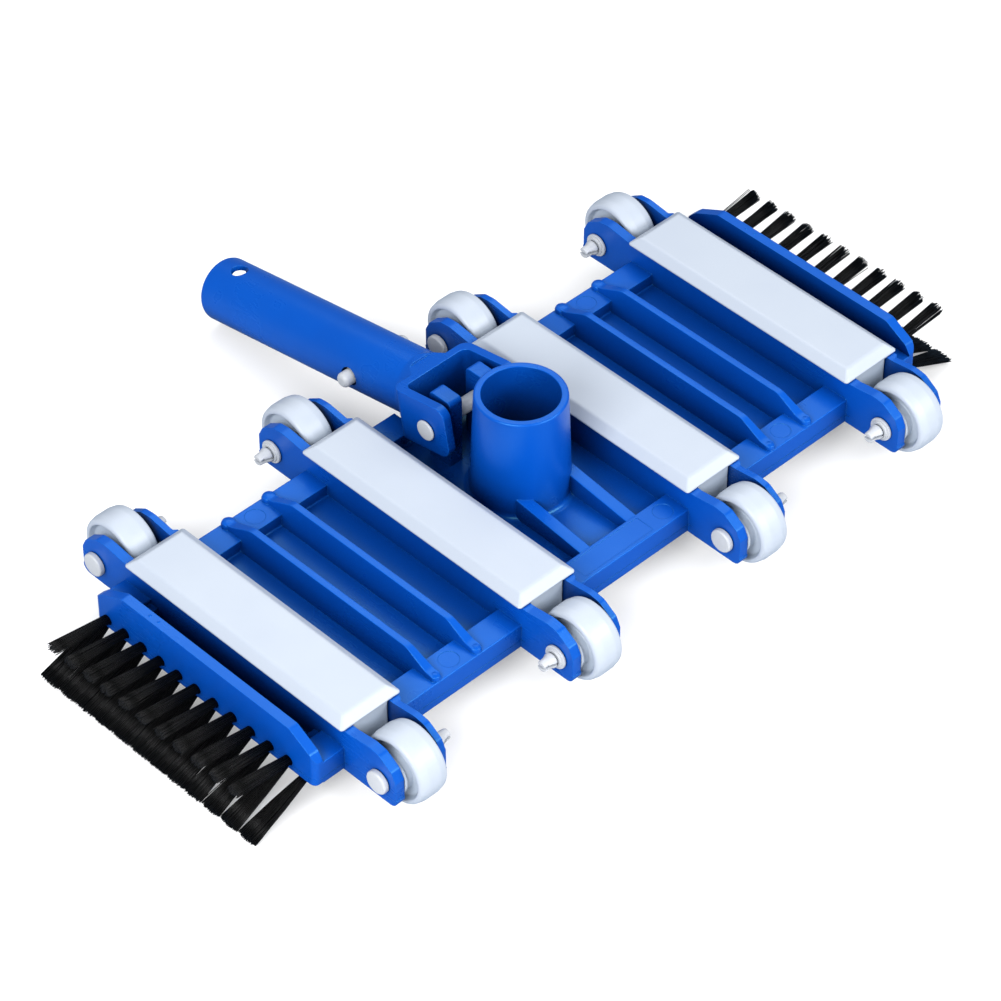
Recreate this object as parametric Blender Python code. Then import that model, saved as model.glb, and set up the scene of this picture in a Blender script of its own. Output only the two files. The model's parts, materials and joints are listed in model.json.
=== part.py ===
"""Manual pool vacuum head: a weighted, wheeled suction head with side brushes.

Axes: +X runs along the head, +Y points to the rear (the handle side), +Z is up.
Lengths below are millimetres measured from the underside of the moulded body;
the finished assembly is moved so that it stands on z = 0, centred on x = y = 0.
"""

import math

import bmesh
import bpy
from mathutils import Vector

MM = 0.001

# ---- Moulded body -------------------------------------------------------------
PITCH = 95.0                 # weight to weight along the head
WEIGHT_X = [-1.5 * PITCH, -0.5 * PITCH, 0.5 * PITCH, 1.5 * PITCH]
BODY_X = 172.0               # half length
BODY_Y = 63.0                # half width of the plate
RIM_Z = 12.3                 # top of the edge pads
FLOOR_Z = 6.6                # floor of the pockets between them
END_FLOOR_Z = 10.0           # ledge in the narrow pocket behind each brush wall
END_WELL_X, END_WELL_Z = 165.6, 5.4      # deeper part of that pocket
PAD_Y = 50.0                 # inner edge of the edge pads
UNDER_DEPTH = 3.4            # recesses in the underside
GAP = 0.3                    # clearance between neighbouring pieces

WALL_OUT = 14.0              # channel wall and cheek, outer half width
WALL_IN = 9.5                # and inner half width
CHEEK_OUT = 12.4             # outer face of the thinner cheeks, on the +X side of a channel
CHEEK_STEP_Y = 65.0          # where they get thinner
WALL_TOP = 21.7
CHANNEL_Z = 4.0              # floor the weight stands on
CHEEK_Y = 92.0
AXLE_Y = 83.0
AXLE_Z = 9.6

RIB_OFFSET = 11.0            # from the middle of a bay
RIB_TOP = 20.0
RIB_BASE_HALF = 3.1
RIB_TOP_HALF = 1.5

BRUSH_WALL_IN = 167.5
BRUSH_WALL_TOP = 23.6
BLOCK_UNDER_Z = 1.2          # underside of the brush block
BLOCK_REAR_Y = 66.0          # the block stands out of the plate at the rear

SOCKET_TOP = 56.0
SOCKET_R_TOP = 19.4          # 1 1/2 in hose spigot, slightly tapered
SOCKET_R_BASE = 21.2
DUCT_R = 16.3
GUSSET_X = 13.2
GUSSET_HALF = 2.9

LUG_IN, LUG_OUT = 6.7, 13.9
LUG_TOP = 41.0

# ---- Weights ------------------------------------------------------------------
CAP_HALF_X, CAP_HALF_Y = 15.5, 63.5
CAP_Z, CAP_TOP = 22.0, 26.0
STEM_HALF_X, STEM_HALF_Y = 9.2, 63.0
CORE_HALF_X, CORE_HALF_Y = 7.2, 58.7
CORE_BOTTOM, CORE_TOP = 4.6, 19.7

# ---- Wheels, axles and their snap ends ----------------------------------------
WHEEL_R = 16.3
WHEEL_HALF = 7.2
HUB_HALF = 9.1               # the hub keeps the wheel off the cheeks
HUB_R = 9.0
AXLE_R = 2.5
BORE_R = 2.85
HEAD_R = 5.25
HEAD_THICK = 2.7
COLLAR_R = 5.3
COLLAR_THICK = 2.0
SNAP_LENGTH = 9.0            # how far the split end stands out of the cheek

# ---- Handle -------------------------------------------------------------------
PIVOT_Y, PIVOT_Z = 33.3, 28.0
HANDLE_TILT = math.radians(-10.5)
TUBE_R, TUBE_BORE_R = 14.3, 12.0
TUBE_END = 151.6             # from the pivot
TUBE_BORE_START = 24.0
WEB_IN, WEB_OUT = 14.9, 18.9
ARM_FRONT = -12.0
ARM_IN, ARM_OUT = 17.1, 21.1
ARM_LOW, ARM_HIGH = -10.4, 13.4
PIN_R, PIN_BORE_R = 3.5, 3.85
PIN_HEAD_R, PIN_HEAD_THICK = 4.7, 1.3
BUTTON_U, BUTTON_R, BUTTON_HOLE_R = 55.5, 3.4, 4.3
BUTTON_OUT = 18.8
LOCK_HOLE_U, LOCK_HOLE_R = 138.6, 3.75
CLIP_HINGE_X, CLIP_HINGE_U = 9.9, 29.0

# ---- Brushes ------------------------------------------------------------------
TUFT_PITCH = 10.65
UPPER_ROW_Y, UPPER_COUNT = 58.6, 11      # rear tuft of each row and how many there are
LOWER_ROW_Y, LOWER_COUNT = 62.2, 12
UPPER_Z = 5.4
BRISTLE_X = 201.0            # where the bristles end
UPPER_TIP_Z = 8.8
LOWER_TIP_Z = -12.2

BLUE = (0.010, 0.085, 0.60, 1.0)
WHITE = (0.74, 0.80, 0.88, 1.0)
IVORY = (0.70, 0.71, 0.70, 1.0)
BRISTLE = (0.008, 0.008, 0.009, 1.0)
IRON = (0.16, 0.16, 0.17, 1.0)


# ---- Small modelling helpers ----------------------------------------------------
def clear_scene():
    for obj in list(bpy.data.objects):
        bpy.data.objects.remove(obj, do_unlink=True)


def material(name, colour, roughness, metallic=0.0):
    mat = bpy.data.materials.new(name)
    mat.use_nodes = True
    shader = mat.node_tree.nodes["Principled BSDF"]
    shader.inputs["Base Color"].default_value = colour
    shader.inputs["Roughness"].default_value = roughness
    shader.inputs["Metallic"].default_value = metallic
    return mat


def new_object(name, bm):
    """Turns a bmesh in millimetres into an object in metres."""
    bmesh.ops.recalc_face_normals(bm, faces=bm.faces)
    bmesh.ops.scale(bm, vec=(MM, MM, MM), verts=bm.verts)
    mesh = bpy.data.meshes.new(name)
    bm.to_mesh(mesh)
    bm.free()
    obj = bpy.data.objects.new(name, mesh)
    bpy.context.collection.objects.link(obj)
    return obj


def loft(name, rings):
    """Closed solid through equal-length rings of points, capped at both ends."""
    bm = bmesh.new()
    loops = [[bm.verts.new(p) for p in ring] for ring in rings]
    count = len(loops[0])
    for low, high in zip(loops, loops[1:]):
        for i in range(count):
            j = (i + 1) % count
            bm.faces.new((low[i], low[j], high[j], high[i]))
    bm.faces.new(loops[0])
    bm.faces.new(loops[-1])
    return new_object(name, bm)


def prism_x(name, outline_yz, x0, x1):
    return loft(name, [[(x, y, z) for y, z in outline_yz] for x in (x0, x1)])


def box(name, x0, x1, y0, y1, z0, z1):
    return prism_x(name, [(y0, z0), (y1, z0), (y1, z1), (y0, z1)], x0, x1)


def ring_points(radius_a, radius_b, count):
    return [(radius_a * math.cos(t), radius_b * math.sin(t))
            for t in (2 * math.pi * (i + 0.5) / count for i in range(count))]


def rod(name, axis, centre, radii_at, count=16):
    """Solid of revolution about an axis through centre; radii_at is [(position, radius)]."""
    rings = []
    for s, r in radii_at:
        ring = []
        for a, b in ring_points(r, r, count):
            local = {"X": (s, a, b), "Y": (a, s, b), "Z": (a, b, s)}[axis]
            ring.append(Vector(centre) + Vector(local))
        rings.append(ring)
    return loft(name, rings)


def cylinder(name, axis, centre, radius, low, high, count=16):
    return rod(name, axis, centre, [(low, radius), (high, radius)], count)


def turned_ring(name, profile, count=14):
    """Ring about the X axis from a closed profile of (x, radius) points."""
    bm = bmesh.new()
    loops = []
    for x, r in profile:
        loops.append([bm.verts.new((x, a, b)) for a, b in ring_points(r, r, count)])
    for k, low in enumerate(loops):
        high = loops[(k + 1) % len(loops)]
        for i in range(count):
            j = (i + 1) % count
            bm.faces.new((low[i], low[j], high[j], high[i]))
    return new_object(name, bm)


def apply_boolean(target, tool, operation):
    modifier = target.modifiers.new(operation, "BOOLEAN")
    modifier.operation = operation
    modifier.solver = "EXACT"
    modifier.object = tool
    bpy.context.view_layer.objects.active = target
    bpy.ops.object.modifier_apply(modifier=modifier.name)
    bpy.data.objects.remove(tool, do_unlink=True)


def add(target, *tools):
    for tool in tools:
        apply_boolean(target, tool, "UNION")


def cut(target, *tools):
    for tool in tools:
        apply_boolean(target, tool, "DIFFERENCE")


def merge_flats(obj):
    """Joins the slivers that the booleans leave on flat faces."""
    bm = bmesh.new()
    bm.from_mesh(obj.data)
    bmesh.ops.dissolve_limit(bm, angle_limit=math.radians(0.05), verts=bm.verts, edges=bm.edges)
    bm.to_mesh(obj.data)
    bm.free()


def smooth_round(obj, degrees=35):
    """Shades the turned faces smooth and keeps the real edges sharp."""
    for polygon in obj.data.polygons:
        polygon.use_smooth = True
    obj.data.set_sharp_from_angle(angle=math.radians(degrees))


def finish(obj, mat, parent=None, location=(0, 0, 0), rotation=(0, 0, 0), round_faces=True):
    """Gives a piece its material and puts its origin where it belongs."""
    obj.data.materials.clear()
    obj.data.materials.append(mat)
    if round_faces:
        smooth_round(obj)
    obj.location = [c * MM for c in location]
    obj.rotation_euler = rotation
    obj.parent = parent
    return obj


def copy_of(obj, name):
    twin = bpy.data.objects.new(name, obj.data)
    bpy.context.collection.objects.link(twin)
    return twin


# ---- The moulded body -----------------------------------------------------------
def cheek_outline():
    """Side view of one channel wall with its wheel cheek at both ends."""
    rear = [(CHEEK_Y - 4.0, 0.0), (CHEEK_Y - 1.0, 1.6), (CHEEK_Y, 4.5), (CHEEK_Y, 13.0),
            (CHEEK_Y - 2.5, 18.0), (82.5, 22.6), (77.0, 23.2), (66.0, WALL_TOP)]
    front = [(-y, z) for y, z in reversed(rear)]
    return rear + front


def tapered_rib(name, x):
    """Cross rib, thick at its root, with both ends sloping down to the plate edge."""
    side = [(-BODY_Y, 5.0), (BODY_Y, 5.0), (BODY_Y, 14.6), (57.5, 14.6), (45.0, RIB_TOP),
            (-45.0, RIB_TOP), (-57.5, 14.6), (-BODY_Y, 14.6)]

    def half(z):
        share = (z - FLOOR_Z) / (RIB_TOP - FLOOR_Z)
        return RIB_BASE_HALF + (RIB_TOP_HALF - RIB_BASE_HALF) * share

    return loft(name, [[(x + s * half(z), y, z) for y, z in side] for s in (-1, 1)])


def brush_wall(name, side):
    outline = [(-BODY_Y, 5.0), (BLOCK_REAR_Y, 5.0), (BLOCK_REAR_Y, 13.0), (62.0, 17.0),
               (49.0, BRUSH_WALL_TOP), (-49.0, BRUSH_WALL_TOP), (-60.5, 17.0), (-BODY_Y, 13.0)]
    return prism_x(name, outline, *sorted((side * BRUSH_WALL_IN, side * BODY_X)))


def lug_outline():
    y0, y1 = PIVOT_Y - 6.2, PIVOT_Y + 6.2
    return [(y0, 5.0), (y1, 5.0), (y1, LUG_TOP - 2.0), (y1 - 2.0, LUG_TOP),
            (y0 + 2.0, LUG_TOP), (y0, LUG_TOP - 2.0)]


def gusset(name, side):
    outline = [(-10.0, 5.0), (-10.0, 17.0), (-16.0, 16.4), (-PAD_Y, RIM_Z), (-PAD_Y, 5.0)]
    x = side * GUSSET_X
    return prism_x(name, outline, x - GUSSET_HALF, x + GUSSET_HALF)


def tuft_row(first, count):
    """Y positions of the tufts of a row, rear to front."""
    return [first - i * TUFT_PITCH for i in range(count)]


def bay_edges():
    """X ranges between the channel walls, one for each full bay."""
    return [(a + WALL_OUT, b - WALL_OUT) for a, b in zip(WEIGHT_X, WEIGHT_X[1:])]


def build_body():
    body = box("body_frame", -BODY_X, BODY_X, -BODY_Y, BODY_Y, 0.0, RIM_Z)

    for low, high in bay_edges():
        cut(body, box("pocket", low, high, -PAD_Y, PAD_Y, FLOOR_Z, 30.0),
            box("recess", low + 2, high - 2, -BODY_Y + 4, BODY_Y - 4, -5.0, UNDER_DEPTH))
    for side in (-1, 1):
        inner = side * (WEIGHT_X[3] + WALL_OUT)
        x0, x1 = sorted((inner, side * BODY_X))
        add(body, box("block_end", x0, x1, BODY_Y - 2.0, BLOCK_REAR_Y, BLOCK_UNDER_Z, RIM_Z))
        x0, x1 = sorted((inner, side * BRUSH_WALL_IN))
        cut(body, box("end_pocket", x0, x1, -PAD_Y, PAD_Y, END_FLOOR_Z, 30.0))
        x0, x1 = sorted((inner, side * END_WELL_X))
        cut(body, box("end_well", x0, x1, 4 - PAD_Y, PAD_Y - 4, END_WELL_Z, 30.0))
        x0, x1 = sorted((inner, side * 180.0))
        cut(body, box("block_relief", x0, x1, -70.0, 70.0, -5.0, BLOCK_UNDER_Z))

    for x in WEIGHT_X:
        cut(body, box("channel", x - WALL_IN, x + WALL_IN, -70.0, 70.0, CHANNEL_Z, 30.0))
        for side in (-1, 1):
            x0, x1 = sorted((x + side * WALL_IN, x + side * WALL_OUT))
            add(body, prism_x("cheek", cheek_outline(), x0, x1))
        cut(body, *[box("cheek_step", x + CHEEK_OUT, x + WALL_OUT + 0.5, low, high, -1.0, 30.0)
                    for low, high in ((-95.0, -CHEEK_STEP_Y), (CHEEK_STEP_Y, 95.0))])
        cut(body, *[cylinder("axle_hole", "X", (x, y, AXLE_Z), BORE_R, -20.0, 20.0, 12)
                    for y in (-AXLE_Y, AXLE_Y)])
    cut(body, box("suction_groove", -130.0, 130.0, -9.0, 9.0, -5.0, 2.2))

    for bay in (-PITCH, PITCH):
        add(body, *[tapered_rib("rib", bay + s * RIB_OFFSET) for s in (-1, 1)])

    add(body, gusset("gusset", -1), gusset("gusset", 1),
        rod("socket", "Z", (0, 0, 0), [(5.0, SOCKET_R_BASE), (SOCKET_TOP, SOCKET_R_TOP)], 36))
    for side in (-1, 1):
        x0, x1 = sorted((side * LUG_IN, side * LUG_OUT))
        add(body, prism_x("lug", lug_outline(), x0, x1))
    cut(body, cylinder("duct", "Z", (0, 0, 0), DUCT_R, -5.0, 70.0, 36),
        cylinder("pin_hole", "X", (0, PIVOT_Y, PIVOT_Z), PIN_BORE_R, -25.0, 25.0),
        box("handle_notch", -12.0, 12.0, 40.0, 70.0, FLOOR_Z, 30.0))

    for side in (-1, 1):
        add(body, brush_wall("brush_wall", side))
        cut_brush_seats(body, side)
    merge_flats(body)
    return body


def cut_brush_seats(body, side):
    """Holes and anchor slot of the upper row, open groove of the lower one."""
    upper = tuft_row(UPPER_ROW_Y, UPPER_COUNT)
    lower = tuft_row(LOWER_ROW_Y, LOWER_COUNT)
    x0, x1 = sorted((side * 166.5, side * 180.0))
    for y in upper:
        cut(body, cylinder("tuft_hole", "X", (0, y, UPPER_Z), 2.4, x0, x1, 8))
    x0, x1 = sorted((side * 166.5, side * 168.7))
    cut(body, box("anchor_slot", x0, x1, upper[-1] - 1.5, upper[0] + 1.5,
                  UPPER_Z - 1.1, UPPER_Z + 1.1))
    x0, x1 = sorted((side * 163.7, side * 170.4))
    cut(body, box("lower_groove", x0, x1, lower[-1] - 2.5, lower[0] + 2.5, -5.0, 3.3))


# ---- Weights --------------------------------------------------------------------
def build_weight_cover(name):
    """White cover: a chamfered cap over a stem that drops between the channel walls."""
    chamfer = CAP_TOP - CAP_Z

    def rectangle(half_x, half_y, z):
        return [(-half_x, -half_y, z), (half_x, -half_y, z), (half_x, half_y, z),
                (-half_x, half_y, z)]

    cap = loft(name, [rectangle(CAP_HALF_X, CAP_HALF_Y, CAP_Z),
                      rectangle(CAP_HALF_X, CAP_HALF_Y, CAP_Z + 0.6),
                      rectangle(CAP_HALF_X - chamfer, CAP_HALF_Y - chamfer, CAP_TOP)])
    bottom = CHANNEL_Z + GAP
    add(cap, box("stem", -STEM_HALF_X, STEM_HALF_X, -STEM_HALF_Y, STEM_HALF_Y, bottom, CAP_Z + 1))
    cut(cap, box("cavity", -CORE_HALF_X - GAP, CORE_HALF_X + GAP,
                 -CORE_HALF_Y - GAP, CORE_HALF_Y + GAP, 0.0, CORE_TOP + GAP))
    return cap


def build_weights(root, white, iron):
    cover = build_weight_cover("weight_cover_1")
    core = box("weight_core_1", -CORE_HALF_X, CORE_HALF_X, -CORE_HALF_Y, CORE_HALF_Y,
               CORE_BOTTOM, CORE_TOP)
    for number, x in enumerate(WEIGHT_X, 1):
        first = number == 1
        piece = cover if first else copy_of(cover, f"weight_cover_{number}")
        finish(piece, white, root, (x, 0, 0), round_faces=False)
        bar = core if first else copy_of(core, f"weight_core_{number}")
        finish(bar, iron, root, (x, 0, 0), round_faces=False)


# ---- Wheels and axles -------------------------------------------------------------
def build_wheel(name):
    """Half profile (x, radius): flanged hub, annular recess, rim and crowned tread."""
    half = [(HUB_HALF, BORE_R), (HUB_HALF, HUB_R), (7.8, HUB_R), (7.8, HUB_R - 0.7),
            (4.5, HUB_R - 0.4), (4.5, 12.2), (WHEEL_HALF, 13.2), (WHEEL_HALF, 14.2),
            (5.0, WHEEL_R)]
    mirrored = [(-x, r) for x, r in reversed(half)]
    return turned_ring(name, half + mirrored, 20)


def build_snap_pin(name, radius, head_radius, head_thick, head_face, far_face):
    """Headed pin along +X: head on the -X side, split and barbed end on the +X side."""
    barb = 0.8
    collar_end = far_face + 2 * GAP + COLLAR_THICK
    tip = far_face + SNAP_LENGTH
    profile = [(head_face - head_thick, head_radius - 0.9),
               (head_face - head_thick * 0.7, head_radius - 0.1), (head_face, head_radius),
               (head_face, radius), (collar_end, radius), (collar_end + 0.4, radius + barb),
               (collar_end + 1.6, radius + barb), (tip, radius - 0.4)]
    pin = rod(name, "X", (0, 0, 0), profile, 12)
    cut(pin, box("split", collar_end - 0.4, tip + 1.0, -head_radius, head_radius, -0.6, 0.6))
    return pin


def build_running_gear(root, white, ivory):
    """Eight wheels, each on its own pin; the pins' heads alternate from weight to weight."""
    wheel = build_wheel("wheel_front_1")
    pin = build_snap_pin("axle_front_1", AXLE_R, HEAD_R, HEAD_THICK, -WALL_OUT - GAP, CHEEK_OUT)
    x0 = CHEEK_OUT + GAP
    x1 = x0 + COLLAR_THICK
    collar = turned_ring("axle_collar_front_1", [(x0, BORE_R), (x0, COLLAR_R), (x1, COLLAR_R - 0.4),
                                                 (x1, BORE_R)], 12)
    for end, y in (("front", -AXLE_Y), ("rear", AXLE_Y)):
        for number, x in enumerate(WEIGHT_X, 1):
            turned = number % 2 == 0
            pin_x = x - (WALL_OUT - CHEEK_OUT if turned else 0.0)
            turn = (0, 0, math.pi if turned else 0)
            for source, stem, mat, at, spin in ((wheel, "wheel", white, x, (0, 0, 0)),
                                                (pin, "axle", ivory, pin_x, turn),
                                                (collar, "axle_collar", ivory, pin_x, turn)):
                name = f"{stem}_{end}_{number}"
                piece = source if source.name == name else copy_of(source, name)
                finish(piece, mat, root, (at, y, AXLE_Z), spin)


# ---- Handle, hinge pin and spring clip ----------------------------------------------
def arm_outline():
    """Clevis arm seen along X: rounded front end, square where it meets the web."""
    r = 5.0
    corners = [((ARM_FRONT + r, ARM_LOW + r), 180), ((ARM_FRONT + r, ARM_HIGH - r), 90)]
    points = [(WEB_OUT, ARM_LOW)]
    for (u, w), start in corners:
        arc = []
        for step in range(5):
            t = math.radians(start + 22.5 * step)
            arc.append((u + r * math.cos(t), w + r * math.sin(t)))
        points += list(reversed(arc))
    points.append((WEB_OUT, ARM_HIGH))
    return points


def build_handle():
    """Tube and clevis in one moulding; local +Y runs from the pivot to the open end."""
    handle = cylinder("handle", "Y", (0, 0, 0), TUBE_R, WEB_IN + 1, TUBE_END, 28)
    web = box("web", -ARM_OUT, ARM_OUT, WEB_IN, WEB_OUT, ARM_LOW, ARM_HIGH)
    flare = rod("flare", "Y", (0, 0, 0), [(WEB_OUT - 1, TUBE_R + 2.4), (WEB_OUT + 3, TUBE_R + 0.9),
                                          (WEB_OUT + 8, TUBE_R - 0.2)], 28)
    flare_trim = box("flare_trim", -30, 30, WEB_IN - 2, WEB_OUT + 12, ARM_HIGH, 30)
    under_trim = box("under_trim", -30, 30, WEB_IN - 2, WEB_OUT + 3, -30, ARM_LOW)
    cut(flare, flare_trim, under_trim)
    tube_trim = box("tube_trim", -30, 30, WEB_IN - 2, WEB_OUT + 1.5, -30, ARM_LOW)
    tube_top_trim = box("tube_top_trim", -30, 30, WEB_IN - 2, WEB_OUT + 1.5, ARM_HIGH, 30)
    cut(handle, tube_trim, tube_top_trim)
    add(handle, flare, web)
    for side in (-1, 1):
        x0, x1 = sorted((side * ARM_IN, side * ARM_OUT))
        add(handle, prism_x("arm", arm_outline(), x0, x1))
    cut(handle, cylinder("bore", "Y", (0, 0, 0), TUBE_BORE_R, TUBE_BORE_START, TUBE_END + 5, 28),
        cylinder("pin_hole", "X", (0, 0, 0), PIN_BORE_R, -30, 30),
        cylinder("button_hole", "X", (0, BUTTON_U, 0), BUTTON_HOLE_R, -30, 30),
        cylinder("lock_hole", "Z", (0, LOCK_HOLE_U, 0), LOCK_HOLE_R, -30, 30))
    merge_flats(handle)
    return handle


def build_clip_bend(name):
    """Closed end of the U-shaped spring clip, bedded in the bottom of the tube bore."""
    x = CLIP_HINGE_X
    outer = [(-x - 0.7, CLIP_HINGE_U - 0.3), (-x - 0.7, 27.0), (-x + 1.5, 24.6), (x - 1.5, 24.6),
             (x + 0.7, 27.0), (x + 0.7, CLIP_HINGE_U - 0.3)]
    inner = [(x - 0.7, CLIP_HINGE_U - 0.3), (x - 0.7, 27.3), (x - 2.0, 26.0), (-x + 2.0, 26.0),
             (-x + 0.7, 27.3), (-x + 0.7, CLIP_HINGE_U - 0.3)]
    return loft(name, [[(px, py, w) for px, py in outer + inner] for w in (-3.5, 3.5)])


def build_clip_arm(name, side):
    """Spring leaf with its snap button, drawn from the point where the leaf flexes."""
    reach = BUTTON_U - CLIP_HINGE_U
    out = BUTTON_OUT - CLIP_HINGE_X
    leaf = [(-0.6, 0.1), (0.6, 0.1), (0.9, reach - 5.0), (0.9, reach + 5.0), (-0.5, reach + 5.0),
            (-0.5, reach - 5.0)]
    arm = loft(name, [[(side * px, py, w) for px, py in leaf] for w in (-3.5, 3.5)])
    profile = [(0.3, BUTTON_R), (out - 1.8, BUTTON_R), (out - 0.6, BUTTON_R - 0.5),
               (out, BUTTON_R - 1.2)]
    add(arm, rod("button", "X", (0, reach, 0), [(side * s, r) for s, r in profile], 14))
    return arm


def build_handle_group(root, blue, ivory):
    handle = finish(build_handle(), blue, root, (0, PIVOT_Y, PIVOT_Z), (HANDLE_TILT, 0, 0))
    finish(build_clip_bend("clip_bend"), ivory, handle)
    for word, side in (("left", -1), ("right", 1)):
        arm = build_clip_arm(f"clip_button_{word}", side)
        finish(arm, ivory, handle, (side * CLIP_HINGE_X, CLIP_HINGE_U, 0))
    pivot = (0, PIVOT_Y, PIVOT_Z)
    pin = build_snap_pin("hinge_pin", PIN_R, PIN_HEAD_R, PIN_HEAD_THICK, -ARM_OUT - GAP, ARM_OUT)
    finish(pin, ivory, root, pivot)
    x0 = ARM_OUT + GAP
    x1 = x0 + COLLAR_THICK
    collar = turned_ring("hinge_pin_collar", [(x0, PIN_BORE_R), (x0, 6.2), (x1, 5.8),
                                              (x1, PIN_BORE_R)], 12)
    finish(collar, ivory, root, pivot)


# ---- Brushes --------------------------------------------------------------------
def tuft(name, side, y, stations):
    """One tuft through stations (x, z, half width along Y, half thickness along Z)."""
    return loft(name, [[(side * x, y + a, z + b) for a, b in ring_points(half_y, half_z, 8)]
                       for x, z, half_y, half_z in stations])


def build_upper_brush(name, side):
    rows = tuft_row(UPPER_ROW_Y, UPPER_COUNT)
    x0, x1 = sorted((side * 166.8, side * 168.4))
    brush = box(name, x0, x1, rows[-1] - 1.2, rows[0] + 1.2, UPPER_Z - 0.8, UPPER_Z + 0.8)
    for y in rows:
        add(brush, tuft("tuft", side, y, [(167.3, UPPER_Z, 2.0, 2.0), (172.6, UPPER_Z, 2.0, 2.0),
                                          (BRISTLE_X, UPPER_TIP_Z, 3.5, 2.6)]))
    merge_flats(brush)
    return brush


def build_lower_brush(name, side):
    rows = tuft_row(LOWER_ROW_Y, LOWER_COUNT)
    x0, x1 = sorted((side * 164.0, side * 167.0))
    brush = box(name, x0, x1, rows[-1] - 2.1, rows[0] + 2.1, 1.5, 3.0)
    for y in rows:
        add(brush, tuft("tuft", side, y, [(165.6, 2.2, 1.5, 0.65), (172.0, -0.9, 2.15, 1.1),
                                          (BRISTLE_X, LOWER_TIP_Z, 5.0, 1.6)]))
    merge_flats(brush)
    return brush


def build_brushes(root, bristle):
    for word, side in (("left", -1), ("right", 1)):
        finish(build_upper_brush(f"brush_{word}_upper", side), bristle, root, round_faces=False)
        finish(build_lower_brush(f"brush_{word}_lower", side), bristle, root, round_faces=False)


# ---- Assembly -------------------------------------------------------------------
def stand_on_floor(root):
    """Moves the assembly so its overall box is centred in plan and stands on z = 0."""
    bpy.context.view_layer.update()
    corners = [obj.matrix_world @ v.co for obj in bpy.data.objects if obj.type == "MESH"
               for v in obj.data.vertices]
    low = [min(c[i] for c in corners) for i in range(3)]
    high = [max(c[i] for c in corners) for i in range(3)]
    root.location = (-(low[0] + high[0]) / 2, -(low[1] + high[1]) / 2, -low[2])
    bpy.context.view_layer.update()


def main():
    clear_scene()
    blue = material("blue_moulding", BLUE, 0.32)
    white = material("white_moulding", WHITE, 0.38)
    ivory = material("white_nylon", IVORY, 0.42)
    bristle = material("black_bristle", BRISTLE, 0.55)
    iron = material("cast_iron_bar", IRON, 0.6, 0.9)

    root = bpy.data.objects.new("vacuum_head", None)
    bpy.context.collection.objects.link(root)
    finish(build_body(), blue, root)
    build_weights(root, white, iron)
    build_running_gear(root, white, ivory)
    build_handle_group(root, blue, ivory)
    build_brushes(root, bristle)
    stand_on_floor(root)


main()
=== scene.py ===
import json
import math
import random

import bmesh
import bpy
from mathutils import Matrix, Vector

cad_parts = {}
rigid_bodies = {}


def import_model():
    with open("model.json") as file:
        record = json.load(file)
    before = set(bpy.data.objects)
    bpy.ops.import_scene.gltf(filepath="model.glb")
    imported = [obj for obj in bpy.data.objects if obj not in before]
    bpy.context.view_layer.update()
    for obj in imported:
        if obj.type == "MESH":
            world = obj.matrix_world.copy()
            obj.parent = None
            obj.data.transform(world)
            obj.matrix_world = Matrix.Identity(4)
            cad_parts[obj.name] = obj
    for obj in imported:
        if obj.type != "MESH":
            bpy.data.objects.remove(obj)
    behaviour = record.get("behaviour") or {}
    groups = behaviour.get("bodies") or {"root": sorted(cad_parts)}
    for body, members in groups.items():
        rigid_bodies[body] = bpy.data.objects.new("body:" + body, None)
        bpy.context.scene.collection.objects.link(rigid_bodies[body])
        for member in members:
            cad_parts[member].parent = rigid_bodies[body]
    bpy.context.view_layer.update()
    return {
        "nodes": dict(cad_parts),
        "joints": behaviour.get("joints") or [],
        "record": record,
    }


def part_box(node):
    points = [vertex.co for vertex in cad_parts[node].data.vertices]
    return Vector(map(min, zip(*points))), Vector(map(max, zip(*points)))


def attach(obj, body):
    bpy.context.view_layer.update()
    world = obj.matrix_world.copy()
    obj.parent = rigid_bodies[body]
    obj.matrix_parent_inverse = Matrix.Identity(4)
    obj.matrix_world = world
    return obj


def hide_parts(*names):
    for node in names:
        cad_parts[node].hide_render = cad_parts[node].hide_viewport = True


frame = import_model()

# Looks of a manual pool vacuum head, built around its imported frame. +X runs along the head,
# +Y points to the handle side and +Z is up. Shapes are drawn in millimetres from the middle of
# the underside of the moulded body (the handle's from its hinge pin), and emit() carries them
# into the frame.

MM = 0.001


# ---- Places taken from the frame ---------------------------------------------------
def joint(name):
    return next(j for j in frame["joints"] if j["name"] == name)


def mount(name):
    return next(m for m in frame["record"]["mounts"] if m["name"] == name)


body_low, body_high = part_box("body_frame")
ORIGIN = Vector((0.0, (body_low.y + body_high.y) / 2, body_low.z))
FRAME = Matrix.Translation(ORIGIN) @ Matrix.Scale(MM, 4)


def drawn(point):
    return (Vector(point) - ORIGIN) / MM


def drawn_box(node):
    """Lowest and highest corner of a CAD node, in the drawing's millimetres."""
    return [drawn(corner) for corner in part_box(node)]


def drawn_middle(node):
    low, high = drawn_box(node)
    return (low + high) / 2


NUMBERS = (1, 2, 3, 4)
ENDS = ("front", "rear")
SIDES = (("left", -1), ("right", 1))
WEIGHT_X = [drawn_middle(f"weight_cover_{n}").x for n in NUMBERS]
PITCH = WEIGHT_X[1] - WEIGHT_X[0]
BODY_HALF_X, CHEEK_Y, SOCKET_TOP = drawn_box("body_frame")[1]
AXLE_Y = drawn_middle("wheel_rear_1").y
AXLE_Z = drawn_middle("wheel_rear_1").z
CAP_LOW, CAP_HIGH = drawn_box("weight_cover_3")
CAP_HALF_X = (CAP_HIGH.x - CAP_LOW.x) / 2
CAP_HALF_Y = (CAP_HIGH.y - CAP_LOW.y) / 2
PIVOT = drawn(joint("handle_tilt")["pos_m"])
TUBE_AXIS = Vector(mount("handle_end")["axis"]).normalized()
TUBE_END = (drawn(mount("handle_end")["pos_m"]) - PIVOT).dot(TUBE_AXIS)
HANDLE_TILT = math.atan2(TUBE_AXIS.z, TUBE_AXIS.y)
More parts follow.
